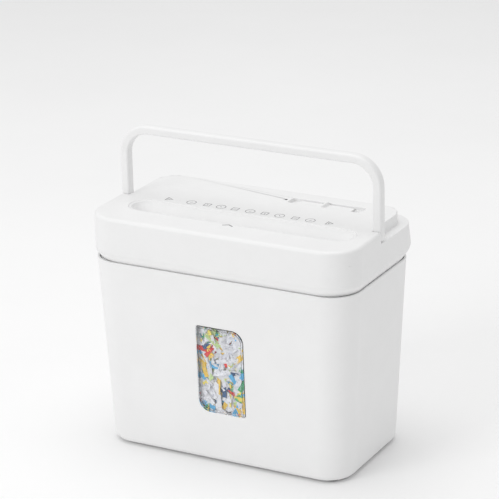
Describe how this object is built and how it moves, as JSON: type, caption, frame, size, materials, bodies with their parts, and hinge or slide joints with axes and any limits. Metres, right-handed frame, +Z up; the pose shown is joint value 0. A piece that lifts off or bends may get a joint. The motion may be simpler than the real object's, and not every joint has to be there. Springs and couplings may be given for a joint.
{
  "type": "paper shredder",
  "caption": "Desktop cross-cut paper shredder with a lift-off cutting head, a folding bail handle and a tapered bin with a clear window.",
  "frame": {"origin": "on the floor, under the middle of the whole object", "axes": "+Z up, -Y towards the front with the window, +X towards the right-hand side with the gear train"},
  "size_m": [0.303, 0.174, 0.331],
  "materials": {
    "white_plastic": "fine satin moulded white",
    "clear_window": "clear, polished",
    "rubber": "matte black",
    "steel": "zinc plated",
    "motor_steel": "drawn can, lightly oiled",
    "hard_steel": "ground, oiled",
    "nylon": "natural nylon",
    "dark_plastic": "moulded black",
    "circuit_board": "green solder mask",
    "paper": "printed and plain office paper, cut small"
  },
  "bodies": {
    "bin": {"bin_shell": "white_plastic", "window_panel": "clear_window", "foot_pad_1": "rubber", "foot_pad_2": "rubber", "foot_pad_3": "rubber", "foot_pad_4": "rubber"},
    "head": {"top_cover": "white_plastic", "lower_housing": "white_plastic", "case_screw_1": "steel", "case_screw_2": "steel", "case_screw_3": "steel", "case_screw_4": "steel", "handle_pin_left": "steel", "handle_pin_right": "steel", "throat_guide": "dark_plastic", "side_plate_left": "steel", "side_plate_right": "steel", "tie_rod_1": "steel", "tie_rod_2": "steel", "tie_rod_3": "steel", "tie_rod_4": "steel", "front_bush_left": "nylon", "front_bush_right": "nylon", "rear_bush_left": "nylon", "rear_bush_right": "nylon", "front_stripper_comb": "dark_plastic", "rear_stripper_comb": "dark_plastic", "second_gear_axle": "steel", "first_gear_axle": "steel", "gear_plate": "steel", "motor_body": "motor_steel", "control_board": "circuit_board", "capacitor": "dark_plastic", "relay": "dark_plastic", "terminal_block": "nylon", "thermal_cutout": "dark_plastic", "slide_switch": "dark_plastic", "status_light": "dark_plastic", "cord_gland": "rubber", "sensor_pin": "steel", "sensor_switch": "dark_plastic", "plunger_spring": "steel", "interlock_switch": "dark_plastic"},
    "handle": {"handle": "white_plastic"},
    "rear_cutter": {"rear_cutter_roller": "hard_steel", "rear_sync_gear": "hard_steel", "drive_gear": "nylon"},
    "front_cutter": {"front_cutter_roller": "hard_steel", "front_sync_gear": "hard_steel"},
    "second_gear": {"second_compound_gear": "nylon"},
    "first_gear": {"first_compound_gear": "nylon"},
    "motor_rotor": {"motor_pinion": "hard_steel"},
    "switch": {"switch_knob": "white_plastic"},
    "sensor": {"sensor_lever": "dark_plastic"},
    "interlock": {"interlock_plunger": "nylon"}
  },
  "joints": [
    {"name": "head_lift", "type": "slide", "parent": "bin", "child": "head", "axis": [0, 0, 1], "range_m": [0, 0.118]},
    {"name": "handle_fold", "type": "hinge", "parent": "head", "child": "handle", "pos_m": [0, -0.004, 0.248], "axis": [-1, 0, 0], "range_deg": [0, 90]},
    {"name": "rear_cutter_spin", "type": "hinge", "parent": "head", "child": "rear_cutter", "pos_m": [0, -0.0195, 0.2], "axis": [1, 0, 0], "continuous": true},
    {"name": "front_cutter_spin", "type": "hinge", "parent": "head", "child": "front_cutter", "pos_m": [0, -0.0465, 0.2], "axis": [1, 0, 0], "continuous": true},
    {"name": "second_gear_spin", "type": "hinge", "parent": "head", "child": "second_gear", "pos_m": [0, 0.009, 0.20658], "axis": [1, 0, 0], "continuous": true},
    {"name": "first_gear_spin", "type": "hinge", "parent": "head", "child": "first_gear", "pos_m": [0, 0.03641, 0.21878], "axis": [1, 0, 0], "continuous": true},
    {"name": "motor_spin", "type": "hinge", "parent": "head", "child": "motor_rotor", "pos_m": [0, 0.0478, 0.1932], "axis": [1, 0, 0], "continuous": true},
    {"name": "switch_slide", "type": "slide", "parent": "head", "child": "switch", "axis": [1, 0, 0], "range_m": [-0.008, 0.008]},
    {"name": "sensor_press", "type": "hinge", "parent": "head", "child": "sensor", "pos_m": [0, -0.021, 0.23], "axis": [1, 0, 0], "range_deg": [0, 20], "stiffness_Nm_per_rad": 0.004, "springref_deg": -5.73},
    {"name": "interlock_press", "type": "slide", "parent": "head", "child": "interlock", "axis": [0, 0, 1], "range_m": [0, 0.003], "stiffness_N_per_m": 200, "springref_m": -0.002, "deforming": ["plunger_spring"]}
  ],
  "couplings": [
    {"joint": "front_cutter_spin", "follows": "rear_cutter_spin", "ratio": -1},
    {"joint": "second_gear_spin", "follows": "rear_cutter_spin", "ratio": -2.25},
    {"joint": "first_gear_spin", "follows": "rear_cutter_spin", "ratio": 9},
    {"joint": "motor_spin", "follows": "rear_cutter_spin", "ratio": -54}
  ]
}
